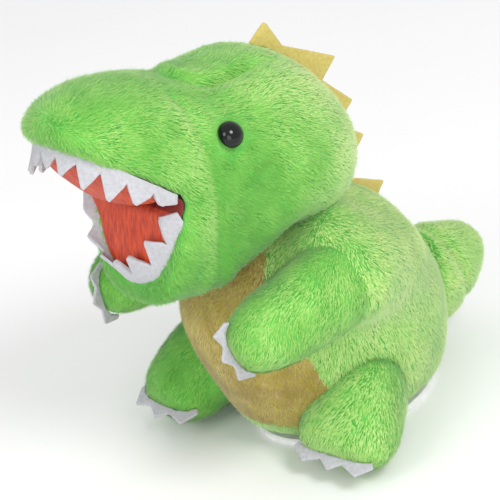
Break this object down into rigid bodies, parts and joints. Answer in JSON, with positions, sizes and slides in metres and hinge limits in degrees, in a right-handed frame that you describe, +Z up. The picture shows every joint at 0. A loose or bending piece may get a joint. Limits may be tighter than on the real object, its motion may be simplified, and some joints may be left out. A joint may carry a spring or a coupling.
{
  "type": "stuffed dinosaur",
  "caption": "Sitting plush dinosaur with a wide-open toothed mouth, felt claws and back spikes, stub arms and legs, a short tail and a flat oval base.",
  "frame": {"origin": "centre of the base plate's underside, on the surface that the toy stands on", "axes": "+Z up, -Y the way the dinosaur looks, +X towards the dinosaur's own left side"},
  "size_m": [0.1041, 0.1852, 0.1503],
  "materials": {
    "plush_green": "short-pile plush, brushed nap",
    "plush_beige": "short-pile plush, brushed nap",
    "felt_white": "pressed felt, matt",
    "felt_yellow": "pressed felt, matt",
    "lining_orange": "smooth satin cloth",
    "stuffing": "loose polyester fibre",
    "eye_black": "polished",
    "washer_white": "matt moulded",
    "plate_white": "satin moulded",
    "pellet_bag": "plain woven bag of pellets"
  },
  "bodies": {
    "body": {"base_plate": "plate_white", "body_skin": "plush_green", "belly_panel": "plush_beige", "body_stuffing": "stuffing", "weight_bag": "pellet_bag", "back_crest": "felt_yellow"},
    "head": {"head_skin": "plush_green", "head_stuffing": "stuffing", "palate_lining": "lining_orange", "upper_teeth": "felt_white", "head_crest": "felt_yellow", "eye_left": "eye_black", "eye_right": "eye_black", "eye_washer_left": "washer_white", "eye_washer_right": "washer_white"},
    "jaw": {"jaw_skin": "plush_green", "jaw_stuffing": "stuffing", "mouth_lining": "lining_orange", "lower_teeth": "felt_white"},
    "arm_left": {"arm_left_skin": "plush_green", "arm_left_stuffing": "stuffing", "arm_claws_left": "felt_white"},
    "leg_left": {"leg_left_skin": "plush_green", "leg_left_stuffing": "stuffing", "leg_claws_left": "felt_white"},
    "arm_right": {"arm_right_skin": "plush_green", "arm_right_stuffing": "stuffing", "arm_claws_right": "felt_white"},
    "leg_right": {"leg_right_skin": "plush_green", "leg_right_stuffing": "stuffing", "leg_claws_right": "felt_white"},
    "tail": {"tail_skin": "plush_green", "tail_stuffing": "stuffing"}
  },
  "joints": [
    {"name": "head_nod", "type": "hinge", "parent": "body", "child": "head", "pos_m": [0, -0.014, 0.08], "axis": [1, 0, 0], "range_deg": [-8, 8], "stiffness_Nm_per_rad": 1.2},
    {"name": "jaw_hinge", "type": "hinge", "parent": "head", "child": "jaw", "pos_m": [0, -0.074, 0.112], "axis": [1, 0, 0], "range_deg": [-35, 5], "stiffness_Nm_per_rad": 0.12},
    {"name": "arm_left_swing", "type": "hinge", "parent": "body", "child": "arm_left", "pos_m": [0.03, -0.024, 0.066], "axis": [1, 0, 0], "range_deg": [-6, 18], "stiffness_Nm_per_rad": 0.1},
    {"name": "arm_right_swing", "type": "hinge", "parent": "body", "child": "arm_right", "pos_m": [-0.03, -0.024, 0.066], "axis": [1, 0, 0], "range_deg": [-6, 18], "stiffness_Nm_per_rad": 0.1},
    {"name": "leg_left_swing", "type": "hinge", "parent": "body", "child": "leg_left", "pos_m": [0.032, -0.012, 0.022], "axis": [1, 0, 0], "range_deg": [-8, 10], "stiffness_Nm_per_rad": 0.15},
    {"name": "leg_right_swing", "type": "hinge", "parent": "body", "child": "leg_right", "pos_m": [-0.032, -0.012, 0.022], "axis": [1, 0, 0], "range_deg": [-8, 10], "stiffness_Nm_per_rad": 0.15},
    {"name": "tail_swing", "type": "hinge", "parent": "body", "child": "tail", "pos_m": [0, 0.032, 0.026], "axis": [1, 0, 0], "range_deg": [-10, 14], "stiffness_Nm_per_rad": 0.15}
  ]
}
